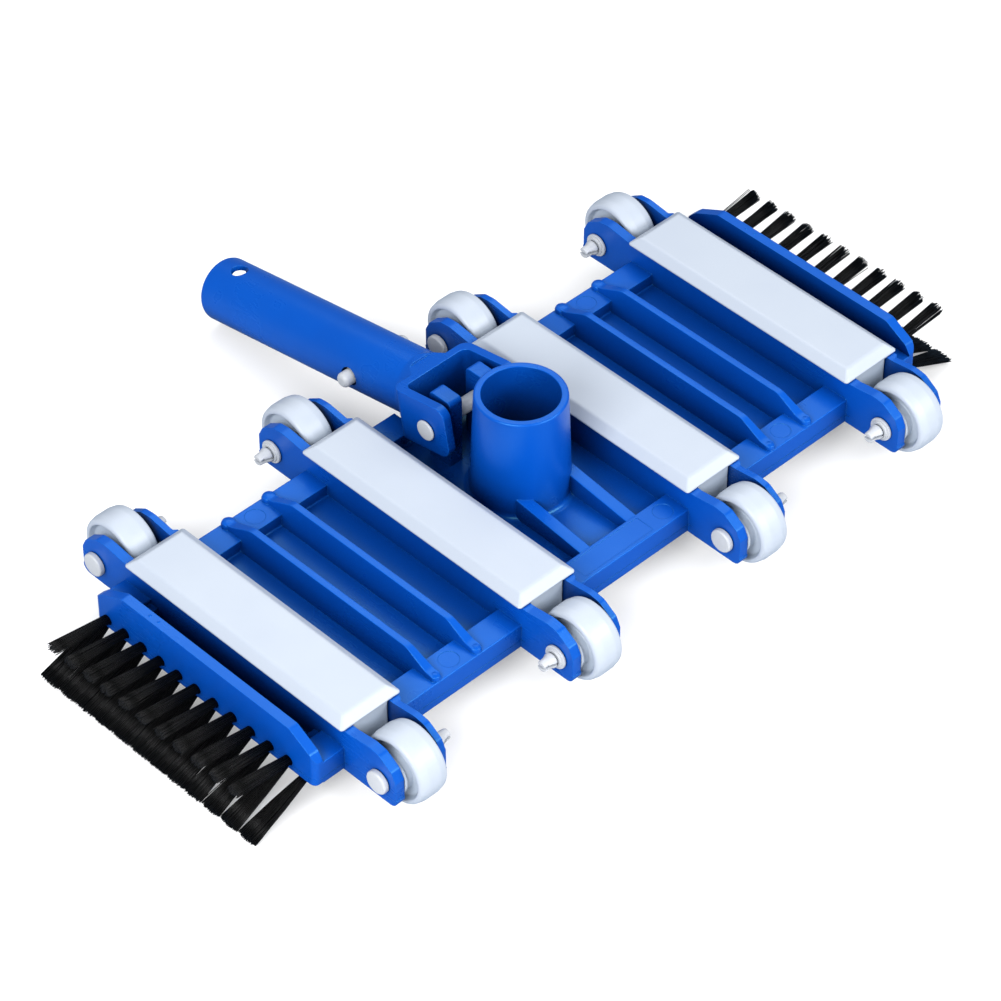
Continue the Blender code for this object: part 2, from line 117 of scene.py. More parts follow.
HANDLE = FRAME @ Matrix.Translation(PIVOT) @ Matrix.Rotation(HANDLE_TILT, 4, "X")
BRISTLE_X = drawn_box("brush_right_upper")[1].x
LOWER_TIP_Z = drawn_box("brush_right_lower")[0].z

# ---- Sizes the frame's boxes don't give, in millimetres -------------------------------
PLATE_HALF_Y = 63.0
RAIL_TOP, RAIL_IN = 12.3, 50.0
FLOOR = 6.6
END_FLOOR, END_FLOOR_Y = 10.0, 52.0
END_WELL, END_WELL_X, END_WELL_Y = 5.4, 165.6, 46.0
BLOCK_UNDER, BLOCK_REAR, BLOCK_CORNER_R = 1.2, 66.0, 3.0
PARTING_Z = 4.1
WALL_OUT, WALL_IN, WALL_TOP = 14.0, 9.5, 21.7
CHEEK_OUT, CHEEK_STEP_Y, CHEEK_DRAFT, CHEEK_PAST = 12.4, 65.0, 0.35, 96.0
CHANNEL_FLOOR = 4.0
RIB_OFFSET, RIB_TOP, RIB_END_Y = 11.0, 20.0, 61.0
RIB_FOOT_HALF, RIB_DRAFT = 3.1, 1.55
KNOB_Y, KNOB_TOP, REAR_KNOB_R, FRONT_KNOB_R = 60.3, 14.9, 3.2, 2.4
BRUSH_WALL_IN, BRUSH_WALL_TOP, BRUSH_WALL_Y = 167.5, 23.6, 49.0
SOCKET_R_TOP, SOCKET_R_BASE, DUCT_R = 19.4, 21.2, 16.3
SOCKET_FILLET, SOCKET_LIP = 2.6, 1.0
GUSSET_X, GUSSET_HALF = 13.2, 2.9
LUG_IN, LUG_OUT, LUG_TOP, LUG_HALF_Y = 6.7, 13.9, 41.0, 6.2
CAP_UNDER, CHAMFER = 22.0, 4.0
STEM_HALF_X, STEM_HALF_Y = 9.2, 63.0
WHEEL_R, AXLE_R, BORE_R = 16.3, 2.5, 2.85
HEAD_R, HEAD_THICK, WASHER_R, WASHER_THICK = 5.25, 2.7, 5.3, 2.0
HINGE_HEAD_R, HINGE_HEAD_THICK, HINGE_WASHER_R = 4.7, 1.3, 6.2
ARM_IN, ARM_OUT = 17.1, 21.1
ARM_LOW, ARM_HIGH, ARM_FRONT = -10.4, 13.4, -12.0
WEB_IN, WEB_OUT = 14.9, 18.9
TUBE_R, TUBE_BORE_R, TUBE_BORE_START = 14.3, 12.0, 24.0
PIN_R, PIN_BORE_R = 3.5, 3.85
BUTTON_AT, BUTTON_R, BUTTON_HOLE_R, BUTTON_OUT = 55.5, 3.4, 4.3, 18.8
LOCK_HOLE_AT, LOCK_HOLE_R = 138.6, 3.75
TUBE_FLARE, TUBE_FLARE_LENGTH = 2.5, 9.0
CLIP_HINGE_X, CLIP_HINGE_AT = 9.9, 29.0
CLIP_HALF_Z, CLIP_HALF_THICK = 3.5, 0.7
TUFT_PITCH = 10.65
UPPER_ROW_Y, UPPER_COUNT = 58.6, 11
LOWER_ROW_Y, LOWER_COUNT = 62.2, 12
UPPER_ROOT_Z, UPPER_TIP_Z = 5.4, 8.8
GROOVE_IN, GROOVE_OUT, GROOVE_TOP = 163.7, 170.4, 3.3

# Cutters run past the plate to these places, solids run into their neighbours by these lengths
# or from this height, and snapped-in pieces have this play.
BELOW, ABOVE, BESIDE, BEYOND = -5.0, 30.0, 70.0, 180.0
LAP, SKIN, SUNK = 2.5, 0.1, 5.0
PLAY = 0.3


# ---- Outlines --------------------------------------------------------------------
def rounded(outline, radius, steps=4):
    """A closed outline with an arc at each corner, of one shared radius or of its own."""
    radii = radius if isinstance(radius, (list, tuple)) else [radius] * len(outline)
    result = []
    for i, r in enumerate(radii):
        corner = Vector(outline[i])
        if r <= 0:
            result.append(tuple(corner))
            continue
        back = (Vector(outline[i - 1]) - corner).normalized()
        ahead = (Vector(outline[(i + 1) % len(outline)]) - corner).normalized()
        half = math.acos(max(-1.0, min(1.0, back.dot(ahead)))) / 2
        centre = corner + (back + ahead).normalized() * (r / math.sin(half))
        start = corner + back * (r / math.tan(half)) - centre
        end = corner + ahead * (r / math.tan(half)) - centre
        sweep = math.pi - 2 * half
        for k in range(steps + 1):
            t = k / steps
            arm = start * math.sin((1 - t) * sweep) + end * math.sin(t * sweep)
            result.append(tuple(centre + arm / math.sin(sweep)))
    return result


def mirrored(half):
    """Outline that is the same on both sides of its first coordinate's zero."""
    return half + [(-a, b) for a, b in reversed(half)]


def rectangle(a0, a1, b0, b1):
    return [(a0, b0), (a1, b0), (a1, b1), (a0, b1)]


# ---- Solids ----------------------------------------------------------------------
def loft(rings):
    bm = bmesh.new()
    loops = [[bm.verts.new(p) for p in ring] for ring in rings]
    count = len(loops[0])
    for low, high in zip(loops, loops[1:]):
        for i in range(count):
            j = (i + 1) % count
            bm.faces.new((low[i], low[j], high[j], high[i]))
    bm.faces.new(loops[0])
    bm.faces.new(loops[-1])
    bmesh.ops.recalc_face_normals(bm, faces=bm.faces)
    return bm


def prism(outline, axis, low, high):
    """Solid whose outline lies across an axis: (y, z) for X, (x, z) for Y and (x, y) for Z."""
    place = {"X": lambda a, b, s: (s, a, b),
             "Y": lambda a, b, s: (a, s, b),
             "Z": lambda a, b, s: (a, b, s)}[axis]
    return loft([[place(a, b, s) for a, b in outline] for s in (low, high)])


def block(x0, x1, y0, y1, z0, z1):
    return prism(rectangle(y0, y1, z0, z1), "X", *sorted((x0, x1)))


def revolve(profile, axis="X", centre=(0, 0, 0), segments=64):
    """Solid of revolution from (position, radius) points; a ring if no point is on the axis."""
    bm = bmesh.new()
    centre = Vector(centre)
    loops = []
    for s, r in profile:
        around = []
        for i in range(segments if r > 0 else 1):
            t = 2 * math.pi * i / segments
            a, b = r * math.cos(t), r * math.sin(t)
            spot = {"X": (s, a, b), "Y": (a, s, b), "Z": (a, b, s)}[axis]
            around.append(bm.verts.new(centre + Vector(spot)))
        loops.append(around)
    pairs = list(zip(loops, loops[1:]))
    if len(loops[0]) > 1:
        pairs.append((loops[-1], loops[0]))
    for low, high in pairs:
        for i in range(segments):
            j = (i + 1) % segments
            corners = [low[i % len(low)], low[j % len(low)], high[j % len(high)], high[i % len(high)]]
            bm.faces.new(list(dict.fromkeys(corners)))
    bmesh.ops.recalc_face_normals(bm, faces=bm.faces)
    return bm


def shaft(axis, centre, radius, low, high, segments=32):
    """Plain cutter for a round hole."""
    return revolve([(low, 0), (low, radius), (high, radius), (high, 0)], axis, centre, segments)


def soften(bm, width, steps=2, sharper_than=35):
    """Rounds every edge sharper than an angle."""
    limit = math.radians(sharper_than)
    edges = [e for e in bm.edges if e.is_manifold and e.calc_face_angle() > limit]
    bmesh.ops.bevel(bm, geom=edges, offset=width, segments=steps, profile=0.5, affect="EDGES",
                    clamp_overlap=True)
    return bm


def to_object(bm, name="tool"):
    mesh = bpy.data.meshes.new(name)
    bm.to_mesh(mesh)
    bm.free()
    return bpy.data.objects.new(name, mesh)


def combine(base, tools, operation):
    """One exact boolean of a solid with many others at once."""
    group = bpy.data.collections.new("tools")
    bpy.context.scene.collection.children.link(group)
    target = to_object(base)
    bpy.context.scene.collection.objects.link(target)
    for tool in tools:
        group.objects.link(to_object(tool))
    modifier = target.modifiers.new(operation, "BOOLEAN")
    modifier.operation = operation
    modifier.solver = "EXACT"
    modifier.operand_type = "COLLECTION"
    modifier.collection = group
    graph = bpy.context.evaluated_depsgraph_get()
    result = bmesh.new()
    result.from_mesh(bpy.data.meshes.new_from_object(target.evaluated_get(graph)))
    for made in [target, *group.objects]:
        bpy.data.objects.remove(made)
    bpy.data.collections.remove(group)
    return result


def unite(base, *tools):
    return combine(base, tools, "UNION")


def carve(base, *tools):
    return combine(base, tools, "DIFFERENCE")


def common(base, *tools):
    return combine(base, tools, "INTERSECT")


def emit(name, bm, surface, body, nodes, matrix=FRAME, sharp=32):
    """Turns a drawn solid into a piece: in the frame, shaded, with its finish and its body."""
    bmesh.ops.remove_doubles(bm, verts=bm.verts, dist=0.0005)
    bmesh.ops.dissolve_limit(bm, angle_limit=math.radians(0.1), verts=bm.verts, edges=bm.edges)
    bm.transform(matrix)
    piece = to_object(bm, name)
    bpy.context.scene.collection.objects.link(piece)
    piece.data.materials.append(surface)
    for polygon in piece.data.polygons:
        polygon.use_smooth = True
    piece.data.set_sharp_from_angle(angle=math.radians(sharp))
    weighted = piece.modifiers.new("even_shading", "WEIGHTED_NORMAL")
    weighted.keep_sharp = True
    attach(piece, body)
    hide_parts(*nodes)
    return piece


# ---- Surfaces --------------------------------------------------------------------
MIX_SHARE, MIX_A, MIX_B, MIX_COLOUR = 0, 6, 7, 2  # sockets of a Mix node set to colour


class Surface:
    """A Principled material whose inputs come from textures in the piece's own space."""

    def __init__(self, name):
        self.material = bpy.data.materials.new(name)
        self.material.use_nodes = True
        self.tree = self.material.node_tree
        self.shader = self.tree.nodes["Principled BSDF"]
        self.place = self.node("ShaderNodeTexCoord").outputs["Object"]

    def feed(self, socket, value):
        if isinstance(value, bpy.types.NodeSocket):
            self.tree.links.new(value, socket)
        else:
            socket.default_value = value

    def node(self, kind, settings=None, **inputs):
        made = self.tree.nodes.new(kind)
        for key, value in (settings or {}).items():
            setattr(made, key, value)
        for key, value in inputs.items():
            self.feed(made.inputs[key.replace("_", " ")], value)
        return made

    def noise(self, size_mm, detail=2.0, roughness=0.5, stretch=(1, 1, 1)):
        """Noise with features of about size_mm."""
        spot = self.node("ShaderNodeMapping", Vector=self.place, Scale=stretch).outputs[0]
        return self.node("ShaderNodeTexNoise", Vector=spot, Scale=1 / (size_mm * MM),
                         Detail=detail, Roughness=roughness).outputs[0]

    def remap(self, value, low, high, out_low, out_high):
        made = self.node("ShaderNodeMapRange")
        for socket, given in zip(made.inputs, (value, low, high, out_low, out_high)):
            self.feed(socket, given)
        return made.outputs[0]

    def math(self, operation, a, b):
        made = self.node("ShaderNodeMath", {"operation": operation})
        self.feed(made.inputs[0], a)
        self.feed(made.inputs[1], b)
        return made.outputs[0]

    def mix(self, share, a, b):
        made = self.node("ShaderNodeMix", {"data_type": "RGBA"})
        self.feed(made.inputs[MIX_SHARE], share)
        self.feed(made.inputs[MIX_A], a)
        self.feed(made.inputs[MIX_B], b)
        return made.outputs[MIX_COLOUR]

    def soft_normal(self, radius_mm):
        """Normal that runs smoothly round edges and into corners."""
        return self.node("ShaderNodeBevel", {"samples": 4}, Radius=radius_mm * MM).outputs[0]

    def edge_mask(self, soft):
        """1 along edges, where the smoothed normal leaves the true one, and 0 on flat faces."""
        flat, edge = 0.985, 0.90
        true = self.node("ShaderNodeNewGeometry").outputs["Normal"]
        made = self.node("ShaderNodeVectorMath", {"operation": "DOT_PRODUCT"})
        self.feed(made.inputs[0], soft)
        self.feed(made.inputs[1], true)
        return self.remap(made.outputs["Value"], flat, edge, 0.0, 1.0)

    def bump(self, height, depth_mm, normal=None, strength=1.0):
        made = self.node("ShaderNodeBump", Strength=strength, Distance=depth_mm * MM, Height=height)
        if normal is not None:
            self.feed(made.inputs["Normal"], normal)
        return made.outputs[0]

    def set(self, **inputs):
        for key, value in inputs.items():
            self.feed(self.shader.inputs[key.replace("_", " ")], value)
        return self.material


def moulded_plastic(name, colour, pale, deep, hollow, gloss, grain_mm, grain_depth,
                    soften_mm=0.45, sheen=(1, 1, 1, 1)):
    """Injection-moulded plastic: slow tone drift, fine grain, painted shade that darkens the
    hollows, paler edges that are part rubbed wear and part painted highlight, and faint scuffs."""
    drift_mm, speck_mm, wear_mm, scuff_mm, wave_mm, painted_shade_reach_mm = 38, 0.9, 6, 2.2, 14, 40
    drift_share, speck_share, scuff_share, drift_dulling, wave_depth = 0.5, 0.10, 0.07, 0.07, 0.10
    s = Surface(name)
    soft = s.soft_normal(soften_mm)
    drift = s.remap(s.noise(drift_mm, 3.0), 0.35, 0.65, 0.0, 1.0)
    speck = s.remap(s.noise(speck_mm, 2.0), 0.62, 0.78, 0.0, 1.0)
    base = s.mix(s.math("MULTIPLY", drift, drift_share), colour, deep)
    base = s.mix(s.math("MULTIPLY", speck, speck_share), base, pale)
    # Edges are mixed in patches towards the pale colour: part rubbed wear, part painted highlight.
    patchy_wear_and_highlight = s.remap(s.noise(wear_mm, 4.0), 0.35, 0.7, 0.25, 0.7)
    base = s.mix(s.math("MULTIPLY", s.edge_mask(soft), patchy_wear_and_highlight), base, pale)
    # Painted shade: the colour is pulled towards the hollow colour wherever ambient occlusion finds a
    # hollow.
    occlusion = s.node("ShaderNodeAmbientOcclusion", {"samples": 4}, Distance=painted_shade_reach_mm * MM)
    base = s.mix(s.remap(occlusion.outputs["AO"], 0.10, 0.62, 0.0, 1.0), hollow, base)
    scuff = s.remap(s.noise(scuff_mm, 5.0, 0.7, (1, 0.16, 1)), 0.52, 0.75, 0.0, 1.0)
    rough = s.math("ADD", s.remap(drift, 0, 1, gloss, gloss + drift_dulling),
                   s.math("MULTIPLY", scuff, scuff_share))
    fine = s.bump(s.noise(grain_mm, 3.0, 0.6), grain_depth, soft)
    wavy = s.bump(s.noise(wave_mm, 1.0), wave_depth, fine, 0.5)
    return s.set(Base_Color=base, Roughness=rough, Normal=wavy, Specular_Tint=sheen)


def blue_moulding():
    # Second colour: pale specks and edges, the edges part wear and part painted highlight; fourth
    # colour: painted shade of the hollows.
    return moulded_plastic("blue_moulding_finish", (0.001, 0.067, 0.41, 1), (0.015, 0.15, 0.56, 1),
                           (0.0005, 0.053, 0.35, 1), (0.0, 0.006, 0.05, 1), 0.26, 0.45, 0.012,
                           sheen=(0.25, 0.85, 1.0, 1))


def white_moulding():
    # Second colour: pale specks and edges, the edges part wear and part painted highlight; fourth
    # colour: painted shade of the hollows.
    return moulded_plastic("white_moulding_finish", (0.40, 0.445, 0.515, 1), (0.47, 0.515, 0.57, 1),
                           (0.38, 0.425, 0.50, 1), (0.30, 0.36, 0.44, 1), 0.36, 0.60, 0.020, 0.6)


def white_nylon():
    # Second colour: pale specks and edges, the edges part wear and part painted highlight; fourth
    # colour: painted shade of the hollows.
    return moulded_plastic("white_nylon_finish", (0.45, 0.47, 0.50, 1), (0.52, 0.54, 0.57, 1),
                           (0.41, 0.43, 0.46, 1), (0.32, 0.35, 0.39, 1), 0.40, 0.35, 0.015, 0.3)


def bristle_nylon():
    """Black filament: near black, with a long streaky sheen."""
    s = Surface("black_bristle_finish")
    tone = s.remap(s.noise(1.6, 2.0, 0.5, (0.06, 1, 1)), 0.35, 0.7, 0.0, 1.0)
    base = s.mix(tone, (0.0006, 0.0005, 0.0005, 1), (0.004, 0.0038, 0.0036, 1))
    streak = s.bump(s.noise(0.25, 1.0, 0.5, (0.05, 1, 1)), 0.03)
    rough = s.remap(s.noise(3.0), 0.3, 0.7, 0.28, 0.42)
    return s.set(Base_Color=base, Roughness=rough, Normal=streak, Specular_IOR_Level=0.14)


def cast_iron():
    """Rough cast bar with a bloom of rust."""
    s = Surface("cast_iron_finish")
    rust = s.remap(s.noise(5, 5.0, 0.65), 0.50, 0.66, 0.0, 1.0)
    base = s.mix(rust, (0.10, 0.10, 0.105, 1), (0.16, 0.062, 0.026, 1))
    metal = s.remap(rust, 0, 1, 0.85, 0.1)
    rough = s.remap(rust, 0, 1, 0.55, 0.85)
    return s.set(Base_Color=base, Metallic=metal, Roughness=rough,
                 Normal=s.bump(s.noise(0.7, 4.0, 0.6), 0.12))


# ---- Moulded body ------------------------------------------------------------------
def plate():
    """The plate with a raised rail along both long edges, open where the weights stand."""
    half = [(PLATE_HALF_Y, 0.0), (PLATE_HALF_Y, RAIL_TOP), (RAIL_IN, RAIL_TOP), (RAIL_IN, FLOOR)]
    section = rounded(mirrored(half), [0.7, 0.6, 0.4, 0.9, 0.9, 0.4, 0.6, 0.7], 3)
    base = prism(section, "X", -BRUSH_WALL_IN - SKIN, BRUSH_WALL_IN + SKIN)
    inner, last_wall = WALL_OUT - LAP, WEIGHT_X[-1] + WALL_OUT
    channels = [block(x - inner, x + inner, -BESIDE, BESIDE, BELOW, ABOVE) for x in WEIGHT_X]
    relief = [block(side * last_wall, side * BEYOND, -BESIDE, BESIDE, BELOW, BLOCK_UNDER)
              for side in (-1, 1)]
    wells = [block(side * (last_wall - 1), side * END_WELL_X, -END_WELL_Y, END_WELL_Y, END_WELL,
                   ABOVE) for side in (-1, 1)]
    return carve(base, *channels, *relief, *wells)


def channel_floor(x):
    """Floor that closes a channel between its two walls."""
    reach_x, reach_y = WALL_IN + LAP, PLATE_HALF_Y - 0.6
    return block(x - reach_x, x + reach_x, -reach_y, reach_y, 0.0, CHANNEL_FLOOR)


def cheek_wall(x, side):
    """Channel wall that runs on into a wheel cheek at both ends; the +X cheeks are thinner."""
    face = CHEEK_Y - CHEEK_DRAFT
    rear = [(CHEEK_Y, 0.0), (CHEEK_Y, PARTING_Z), (face, PARTING_Z), (face, 13.2),
            (CHEEK_Y - 2.6, 18.0), (82.5, 22.5), (77.0, 23.2), (66.0, WALL_TOP)]
    radii = [3.6, 0.25, 0, 2.0, 2.2, 4.0, 10.0, 4.0]
    outline = rounded(mirrored(rear), radii + radii[::-1])
    near, far = sorted((x + side * WALL_IN, x + side * WALL_OUT))
    wall = prism(outline, "X", near, far)
    if side > 0:
        for end in (-1, 1):
            plan = [(x + CHEEK_OUT, CHEEK_STEP_Y + 1.4), (x + WALL_OUT + 1, CHEEK_STEP_Y - 0.9),
                    (x + WALL_OUT + 1, CHEEK_PAST), (x + CHEEK_OUT, CHEEK_PAST)]
            wall = carve(wall, prism([(a, end * b) for a, b in plan], "Z", BELOW, ABOVE))
    return soften(wall, 0.5)


def cross_rib(x):
    """Drafted rib whose ends slope down to a knob at the plate's edge."""
    half = [(RIB_END_Y, SUNK), (RIB_END_Y, 14.4), (57.0, 14.8), (45.5, RIB_TOP)]
    radii = [0.0, 0.0, 7.0, 9.0]
    side = rounded(mirrored(half), radii + radii[::-1], 5)

    def half_width(z):
        return RIB_FOOT_HALF - RIB_DRAFT * (z - FLOOR) / (RIB_TOP - FLOOR)

    return soften(loft([[(x + s * half_width(z), y, z) for y, z in side] for s in (-1, 1)]), 0.4)


def rib_knob(x, end):
    """Round end of a rib, slimmer at the front."""
    radius = REAR_KNOB_R if end > 0 else FRONT_KNOB_R
    profile = [(SUNK, 0.0), (SUNK, radius), (KNOB_TOP - 1.6, radius), (KNOB_TOP - 0.7, radius - 0.4),
               (KNOB_TOP - 0.2, radius - 1.3), (KNOB_TOP, 0.0)]
    return revolve(profile, "Z", (x, end * KNOB_Y, 0), 28)


def gusset(side):
    """Sloping rib that props the socket from the front rail."""
    foot = -RAIL_IN - 0.5
    outline = rounded([(-10.0, SUNK), (-10.0, 17.0), (-16.0, 16.6), (foot, RAIL_TOP), (foot, SUNK)],
                      [0, 0, 2.0, 0, 0])
    x = side * GUSSET_X
    return soften(prism(outline, "X", x - GUSSET_HALF, x + GUSSET_HALF), 0.6)


def socket():
    """Hose socket: a slightly tapered cup with a fillet at its root and a rounded lip."""
    under = FLOOR - 0.3
    root = [(under, SOCKET_R_BASE + SOCKET_FILLET)]
    for t in (math.radians(degrees) for degrees in range(0, 91, 15)):
        root.append((FLOOR + SOCKET_FILLET * (1 - math.cos(t)),
                     SOCKET_R_BASE - SKIN + SOCKET_FILLET * (1 - math.sin(t))))
    lip = []
    for t in (math.radians(degrees) for degrees in range(0, 91, 18)):
        lip.append((SOCKET_TOP - SOCKET_LIP * (1 - math.sin(t)),
                    SOCKET_R_TOP - SOCKET_LIP * (1 - math.cos(t))))
    return revolve([(under, 0.0), *root, *lip, (SOCKET_TOP, 0.0)], "Z", segments=128)


def duct_cutter():
    """The bore, slightly flared at the lip so that the rim is a rounded band."""
    flare, past = 0.45, SOCKET_TOP + 3
    profile = [(BELOW, 0.0), (BELOW, DUCT_R), (SOCKET_TOP - flare, DUCT_R)]
    for k in range(1, 5):
        t = math.radians(22.5 * k)
        profile.append((SOCKET_TOP + flare * (1.05 * math.sin(t) - 1),
                        DUCT_R + flare * (1 - math.cos(t))))
    profile += [(past, DUCT_R + flare), (past, 0.0)]
    return revolve(profile, "Z", segments=128)


def lug(side):
    """One of the two ears that carry the hinge pin."""
    outline = rounded(rectangle(PIVOT.y - LUG_HALF_Y, PIVOT.y + LUG_HALF_Y, SUNK, LUG_TOP),
                      [0, 0, 2.2, 2.2])
    return soften(prism(outline, "X", *sorted((side * LUG_IN, side * LUG_OUT))), 0.6)


def block_plan(side, inner, front, rear):
    """Plan of a piece of the brush block, with round outer corners."""
    plan = rectangle(*sorted((side * inner, side * BODY_HALF_X)), front, rear)
    return rounded(plan, [BLOCK_CORNER_R if abs(x) > BRUSH_WALL_IN else 0 for x, y in plan], 6)


def brush_wall(side):
    """End wall over the bristle block."""
    outline = [(-PLATE_HALF_Y, BLOCK_UNDER), (BLOCK_REAR, BLOCK_UNDER), (BLOCK_REAR, 13.0),
               (62.0, 17.0), (BRUSH_WALL_Y, BRUSH_WALL_TOP), (-BRUSH_WALL_Y, BRUSH_WALL_TOP),
               (-60.4, 17.2), (-PLATE_HALF_Y, 13.0)]
    wall = prism(rounded(outline, [0.6, 0.6, 2.0, 3.0, 4.0, 4.0, 2.5, 1.5]), "X",
                 *sorted((side * BRUSH_WALL_IN, side * BODY_HALF_X)))
    plan = block_plan(side, WEIGHT_X[-1], -PLATE_HALF_Y, BLOCK_REAR)
    return soften(common(wall, prism(plan, "Z", BELOW, ABOVE)), 0.45)


def end_floor(side):
    """Floor behind the end wall, with a deep well, and the block's rear end."""
    low = WEIGHT_X[-1] + WALL_OUT - 2
    floor = block(side * low, side * (BRUSH_WALL_IN + 2), -END_FLOOR_Y, END_FLOOR_Y,
                  BLOCK_UNDER + SKIN, END_FLOOR)
    well = block(side * (low - 1), side * END_WELL_X, -END_WELL_Y, END_WELL_Y, END_WELL,
                 END_FLOOR + 1)
    rear = prism(block_plan(side, low, PLATE_HALF_Y - 6, BLOCK_REAR), "Z", BLOCK_UNDER, RAIL_TOP)
    return unite(carve(floor, well), soften(rear, 0.6))


def gate_marks(side):
    """Two small moulding marks on top of each end wall."""
    x = side * (BRUSH_WALL_IN + BODY_HALF_X) / 2
    first_y, second_y = 29.0, 34.0
    dome = [(BRUSH_WALL_TOP - 0.5, 0.0), (BRUSH_WALL_TOP - 0.5, 0.75), (BRUSH_WALL_TOP + 0.15, 0.6),
            (BRUSH_WALL_TOP + 0.35, 0.3), (BRUSH_WALL_TOP + 0.4, 0.0)]
    return [revolve(dome, "Z", (x, y, 0), 16) for y in (first_y, second_y)]


def tuft_row(first, count):
    """Y positions of a row's tufts, rear to front."""
    return [first - i * TUFT_PITCH for i in range(count)]


def brush_seats(side):
    """Tuft holes and anchor slot of the upper row, open groove of the lower one."""
    upper, lower = tuft_row(UPPER_ROW_Y, UPPER_COUNT), tuft_row(LOWER_ROW_Y, LOWER_COUNT)
    hole_r, hole_from, slot_to, slot_half = 2.35, 166.5, 168.7, 1.1
    holes = [shaft("X", (0, y, UPPER_ROOT_Z), hole_r, *sorted((side * hole_from, side * BEYOND)))
             for y in upper]
    slot = block(side * hole_from, side * slot_to, upper[-1] - 1.5, upper[0] + 1.5,
                 UPPER_ROOT_Z - slot_half, UPPER_ROOT_Z + slot_half)
    groove = block(side * GROOVE_IN, side * GROOVE_OUT, lower[-1] - 2.5, lower[0] + 2.5,
                   BELOW, GROOVE_TOP)
    return [*holes, slot, groove]


def underside_recesses():
    """Shallow pans under the bays, and the groove that spreads the suction along the head."""
    pan_top, groove_top = 3.4, 2.2
    groove_x, groove_y = 130.0, 9.0
    near_wall, pan_y = WALL_OUT + 2, PLATE_HALF_Y - 4
    pans = []
    for a, b in zip(WEIGHT_X, WEIGHT_X[1:]):
        plan = rounded(rectangle(a + near_wall, b - near_wall, -pan_y, pan_y), 3.0)
        pans.append(prism(plan, "Z", BELOW, pan_top))
    plan = rounded(rectangle(-groove_x, groove_x, -groove_y, groove_y), 8.0, 6)
    return [*pans, prism(plan, "Z", BELOW, groove_top)]


def moulding_marks():
    """Parting line round the outside, ejector discs and a plain recessed panel on the rails."""
    low, high, deep = PARTING_Z - 0.12, PARTING_Z + 0.12, 0.14
    line = []
    for end in (-1, 1):
        line.append(block(-BODY_HALF_X - 1, BODY_HALF_X + 1, end * (PLATE_HALF_Y - deep),
                          end * (PLATE_HALF_Y + 2), low, high))
        line += [block(x - WALL_OUT - 1, x + WALL_OUT + 1, end * (CHEEK_Y - deep),
                       end * (CHEEK_Y + 2), low, high) for x in WEIGHT_X]
        line.append(block(end * (BODY_HALF_X - deep), end * (BODY_HALF_X + 2), -BESIDE, BESIDE,
                          low, high))
    rail_middle = (RAIL_IN + PLATE_HALF_Y) / 2 + 0.1
    disc_r, disc_depth, panel_depth = 4.4, 0.2, 0.15
    spots = [(x, y) for x in (-PITCH, PITCH) for y in (-rail_middle, rail_middle)]
    spots.append((25.2, 0.2 - rail_middle))
    discs = [shaft("Z", (x, y, 0), disc_r, RAIL_TOP - disc_depth, ABOVE, 40) for x, y in spots]
    panel = prism(rounded(rectangle(-24.0, 15.0, -61.2, -51.6), 0.8), "Z", RAIL_TOP - panel_depth,
                  ABOVE)
    return [*line, *discs, panel]


def body_holes():
    """Axle and hinge holes, the duct and the notch in the rear rail under the handle."""
    past_cheeks, past_lugs, notch_half = WALL_OUT + 6, LUG_OUT + 4, 12.0
    holes = [shaft("X", (x, y, AXLE_Z), BORE_R, -past_cheeks, past_cheeks)
             for x in WEIGHT_X for y in (-AXLE_Y, AXLE_Y)]
    holes.append(shaft("X", (0, PIVOT.y, PIVOT.z), PIN_BORE_R, -past_lugs, past_lugs))
    holes.append(duct_cutter())
    notch = rounded(rectangle(-notch_half, notch_half, 40.0, BESIDE), [3, 3, 0, 0])
    holes.append(prism(notch, "Z", FLOOR, ABOVE))
    return holes


def build_body(surface):
    """All of the moulding's solids in one, then every hole, recess and mark cut at once."""
    parts = []
    for x in WEIGHT_X:
        parts += [channel_floor(x), cheek_wall(x, -1), cheek_wall(x, 1)]
    for bay in (-PITCH, PITCH):
        for x in (bay - RIB_OFFSET, bay + RIB_OFFSET):
            parts += [cross_rib(x), rib_knob(x, -1), rib_knob(x, 1)]
    for side in (-1, 1):
        parts += [gusset(side), lug(side), brush_wall(side), end_floor(side), *gate_marks(side)]
    solid = unite(plate(), socket(), *parts)
    seats = [*brush_seats(-1), *brush_seats(1)]
    solid = carve(solid, *body_holes(), *seats, *underside_recesses(), *moulding_marks())
    emit("moulded_body", solid, surface, "head_frame", ["body_frame"])


# ---- Weight covers -----------------------------------------------------------------
def weight_cover(x):
    """Cap with chamfered shoulders over a hollow stem that stands in the channel."""
    shoulder = [(3.0, CAP_UNDER), (0.0, CAP_UNDER), (0.0, CAP_UNDER + 0.7), (CHAMFER, CAP_HIGH.z),
                (CHAMFER + 3, CAP_HIGH.z)]
    profile = rounded(shoulder, [0, 0.25, 0.5, 2.6, 0], 6)
    rings = []
    for inset, z in profile:
        plan = rectangle(inset - CAP_HALF_X, CAP_HALF_X - inset, inset - CAP_HALF_Y, CAP_HALF_Y - inset)
        rings.append([(x + a, b, z) for a, b in rounded(plan, max(0.3, 1.3 - inset * 0.2), 4)])
    cap = loft(rings)
    plan = rounded(rectangle(-STEM_HALF_X, STEM_HALF_X, -STEM_HALF_Y, STEM_HALF_Y), 1.0)
    stem = prism([(x + a, b) for a, b in plan], "Z", CAP_LOW.z, CAP_UNDER + 1.0)
    cover = unite(cap, stem)
    core_high = drawn_box("weight_core_3")[1]
    reach = core_high - drawn_middle("weight_core_3") + Vector((PLAY, PLAY, PLAY))
    return carve(cover, block(x - reach.x, x + reach.x, -reach.y, reach.y, 0.0, core_high.z + PLAY))


def build_covers(surface):
    for number, x in zip(NUMBERS, WEIGHT_X):
        emit(f"weight_cap_{number}", weight_cover(x), surface, "head_frame",
             [f"weight_cover_{number}"])


